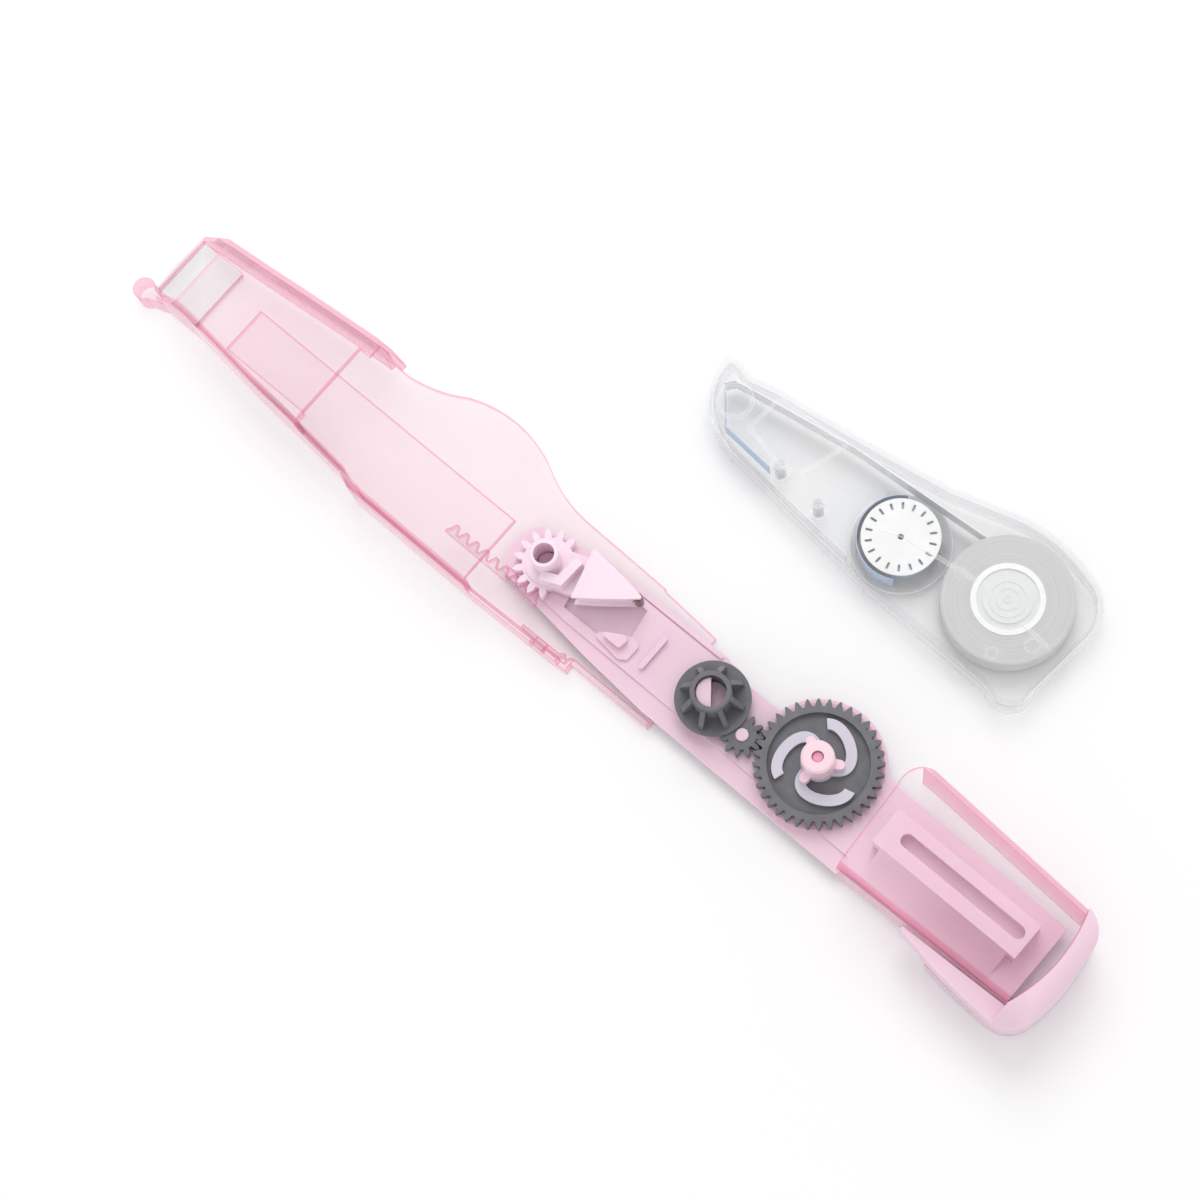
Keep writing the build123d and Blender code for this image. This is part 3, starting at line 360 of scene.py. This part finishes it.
# The heights above which only the open tops of the sleeve and cover, and of the cartridge, lie
SLEEVE_SKIN = 12.0 * MM
CARTRIDGE_SKIN = 6.0 * MM
pink = clear_plastic("clear_pink", PINK_DEPTH, 28, PINK_SIDE, 0.09, PINK_BODY, PINK_EDGE_GLOW, SLEEVE_SKIN)
plain = clear_plastic("clear_plain", PLAIN_DEPTH, 8, (0.92, 0.92, 0.93), 0.1,
                      srgb(0.95, 0.95, 0.955), srgb(0.97, 0.97, 0.98), CARTRIDGE_SKIN)
frosted = clear_plastic("frosted_plain", PLAIN_DEPTH, 8, (0.95, 0.95, 0.95), 0.42,
                        srgb(0.955, 0.95, 0.95), srgb(0.97, 0.97, 0.97), CARTRIDGE_SKIN)
milky = milky_plastic("milky_pink", srgb(0.93, 0.815, 0.87), srgb(0.91, 0.79, 0.85))
head = milky_plastic("head_pink", srgb(0.965, 0.88, 0.925), srgb(0.945, 0.855, 0.905))
deep = milky_plastic("post_pink", srgb(0.95, 0.70, 0.80), srgb(0.92, 0.62, 0.74), 0.15)
grey = gear_plastic()
white = reel_plastic("reel_white", srgb(0.945, 0.945, 0.94), srgb(0.92, 0.92, 0.915))
liner = film("liner_film", srgb(0.68, 0.76, 0.86), srgb(0.58, 0.69, 0.82))
coated = film("coated_film", srgb(0.95, 0.95, 0.95), srgb(0.91, 0.91, 0.92))

LOOKS = {
    "frame": milky, "tail_cap": milky, "rear_cover": pink,
    "supply_post": deep, "spool_post": milky, "idler_pin": milky, "head_post": milky,
    "supply_gear": grey, "clutch_hub": clutch_plastic(), "idler_pinion": grey, "spool_drive": grey,
    "head_arm": head, "head_guide": head, "tip_axle": metal(), "tip_roller": roller_plastic(),
    "rack_slider": pink, "sleeve_tray": pink, "mouth_plate": frosted, "nose_cap": pink,
    "sleeve_rail": pink, "sleeve_latch": pink,
    "cartridge_base": plain, "cartridge_cover": plain, "guide_pin_front": plain,
    "guide_pin_rear": plain, "tape_out": coated, "tape_back": liner, "supply_core": core_plastic(),
    "supply_tape": wound_tape(), "takeup_core": white, "takeup_flange": frosted, "waste_tape": liner,
}
for name, look in LOOKS.items():
    for place in NODES[name].material_slots:
        place.material = look

# ------------------------------------------------------------------ details


STRIP_STEPS = 48
LEADER_RADIUS, LEADER_THICKNESS = 6.9 * MM, 0.12 * MM
LEADER_FROM, LEADER_TO = 120, 300
TAPE_LOW, TAPE_HIGH = 1.3 * MM, 5.2 * MM


def strip(name, centre, radius, start, end, low, high, thickness):
    """A curved upright strip of film round an axis, between two angles in degrees."""
    mesh = bmesh.new()
    rings = []
    for i in range(STRIP_STEPS + 1):
        angle = radians(start + (end - start) * i / STRIP_STEPS)
        for reach in (radius, radius + thickness):
            for level in (low, high):
                place = centre + Vector((reach * cos(angle), reach * sin(angle), level))
                rings.append(mesh.verts.new(place))
    for i in range(STRIP_STEPS):
        here, onward = rings[4 * i:4 * i + 4], rings[4 * i + 4:4 * i + 8]
        for one, two in ((0, 1), (1, 3), (3, 2), (2, 0)):
            mesh.faces.new((here[one], here[two], onward[two], onward[one]))
    for closing in (rings[:4], rings[-4:]):
        mesh.faces.new([closing[k] for k in (0, 1, 3, 2)])
    bmesh.ops.recalc_face_normals(mesh, faces=mesh.faces)
    data = bpy.data.meshes.new(name)
    mesh.to_mesh(data)
    mesh.free()
    made = bpy.data.objects.new(name, data)
    bpy.context.scene.collection.objects.link(made)
    return made


leader = strip("leader_film", TAKEUP, LEADER_RADIUS, LEADER_FROM, LEADER_TO,
               TAPE_LOW, TAPE_HIGH, LEADER_THICKNESS)
leader.data.materials.append(liner)
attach(leader, "takeup_reel")

# ------------------------------------------------------------------ floor, light and camera


FLOOR_SIZE = 6
FLOOR_DROP = 0.15 * MM
SKY_STRENGTH = 0.86
LAMP_AT = Vector((-0.28, 0.42, 0.75))
LAMP_SIZE, LAMP_WATTS = 0.6, 2.6


def floor():
    """A plain pale floor just under the object."""
    bpy.ops.mesh.primitive_plane_add(size=FLOOR_SIZE, location=(0, 0, -FLOOR_DROP))
    plane = bpy.context.object
    plane.name = "floor"
    shader = Shader("floor_paper", Roughness=0.9)
    shader.tone(shader.cloud(3, 2), (0.93, 0.93, 0.93), (0.95, 0.95, 0.95))
    shader.surface.inputs["Specular IOR Level"].default_value = 0.1
    plane.data.materials.append(shader.material)


def studio():
    """An even white surround, with one broad lamp from behind the cartridge's side."""
    world = bpy.data.worlds.new("studio")
    world.use_nodes = True
    sky = world.node_tree.nodes["Background"]
    sky.inputs["Color"].default_value = (1, 1, 1, 1)
    sky.inputs["Strength"].default_value = SKY_STRENGTH
    bpy.context.scene.world = world
    lamp = bpy.data.lights.new("key", "AREA")
    lamp.shape, lamp.size, lamp.energy = "DISK", LAMP_SIZE, LAMP_WATTS
    key = bpy.data.objects.new("key", lamp)
    key.location = LAMP_AT
    key.rotation_euler = (-LAMP_AT).to_track_quat("-Z", "Y").to_euler()
    bpy.context.scene.collection.objects.link(key)


# The camera stands above the near rear corner and is rolled, so the body runs down to the right
CAMERA_AT = Vector((108.0, -46.64, 374.31)) * MM
CAMERA_AZIMUTH, CAMERA_ELEVATION, CAMERA_ROLL = 64.126, 73.639, -23.626
LENS, SENSOR, CLIP_START = 73.16, 36, 0.01


def camera():
    """The camera at the object's main view."""
    azimuth, elevation = radians(CAMERA_AZIMUTH), radians(CAMERA_ELEVATION)
    roll = radians(CAMERA_ROLL)
    back = Vector((sin(azimuth) * cos(elevation), -cos(azimuth) * cos(elevation), sin(elevation)))
    right = (-back).cross(Vector((0, 0, 1))).normalized()
    up = right.cross(-back)
    across = cos(roll) * right + sin(roll) * up
    upward = -sin(roll) * right + cos(roll) * up
    lens = bpy.data.cameras.new("camera")
    lens.lens, lens.sensor_width, lens.clip_start = LENS, SENSOR, CLIP_START
    eye = bpy.data.objects.new("camera", lens)
    turn = Matrix((across, upward, back)).transposed().to_4x4()
    eye.matrix_world = Matrix.Translation(CAMERA_AT) @ turn
    bpy.context.scene.collection.objects.link(eye)
    bpy.context.scene.camera = eye


floor()
studio()
camera()
bpy.context.scene.view_settings.view_transform = "Standard"
